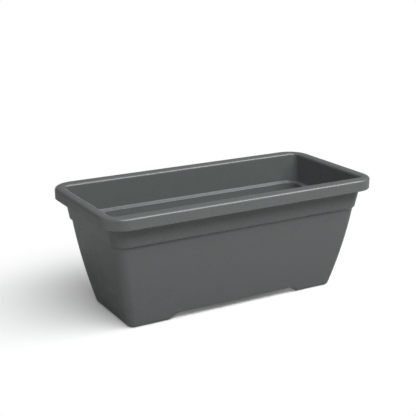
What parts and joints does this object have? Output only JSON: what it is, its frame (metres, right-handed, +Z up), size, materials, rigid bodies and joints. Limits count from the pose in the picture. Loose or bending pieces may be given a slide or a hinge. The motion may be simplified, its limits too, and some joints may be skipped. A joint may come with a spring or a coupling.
{
  "type": "window box planter",
  "caption": "Rectangular plastic window box planter with tapered walls, a hooded rim, an arched base on two feet and pull-out drain plugs.",
  "frame": {"origin": "middle of the footprint, on the ground under the feet", "axes": "+X along the box, +Y across it, +Z up to the rim"},
  "size_m": [0.6, 0.293, 0.24],
  "materials": {
    "trough_plastic": "satin moulded polypropylene, anthracite grey",
    "plug_plastic": "satin moulded polypropylene, near black"
  },
  "bodies": {
    "trough": {"trough": "trough_plastic"},
    "plug_1": {"drain_plug_1": "plug_plastic"},
    "plug_2": {"drain_plug_2": "plug_plastic"},
    "plug_3": {"drain_plug_3": "plug_plastic"},
    "plug_4": {"drain_plug_4": "plug_plastic"},
    "plug_5": {"drain_plug_5": "plug_plastic"},
    "plug_6": {"drain_plug_6": "plug_plastic"}
  },
  "joints": [
    {"name": "plug_1_pull", "type": "slide", "parent": "trough", "child": "plug_1", "axis": [0, 0, 1], "range_m": [0, 0.03]},
    {"name": "plug_2_pull", "type": "slide", "parent": "trough", "child": "plug_2", "axis": [0, 0, 1], "range_m": [0, 0.03]},
    {"name": "plug_3_pull", "type": "slide", "parent": "trough", "child": "plug_3", "axis": [0, 0, 1], "range_m": [0, 0.03]},
    {"name": "plug_4_pull", "type": "slide", "parent": "trough", "child": "plug_4", "axis": [0, 0, 1], "range_m": [0, 0.03]},
    {"name": "plug_5_pull", "type": "slide", "parent": "trough", "child": "plug_5", "axis": [0, 0, 1], "range_m": [0, 0.03]},
    {"name": "plug_6_pull", "type": "slide", "parent": "trough", "child": "plug_6", "axis": [0, 0, 1], "range_m": [0, 0.03]}
  ]
}
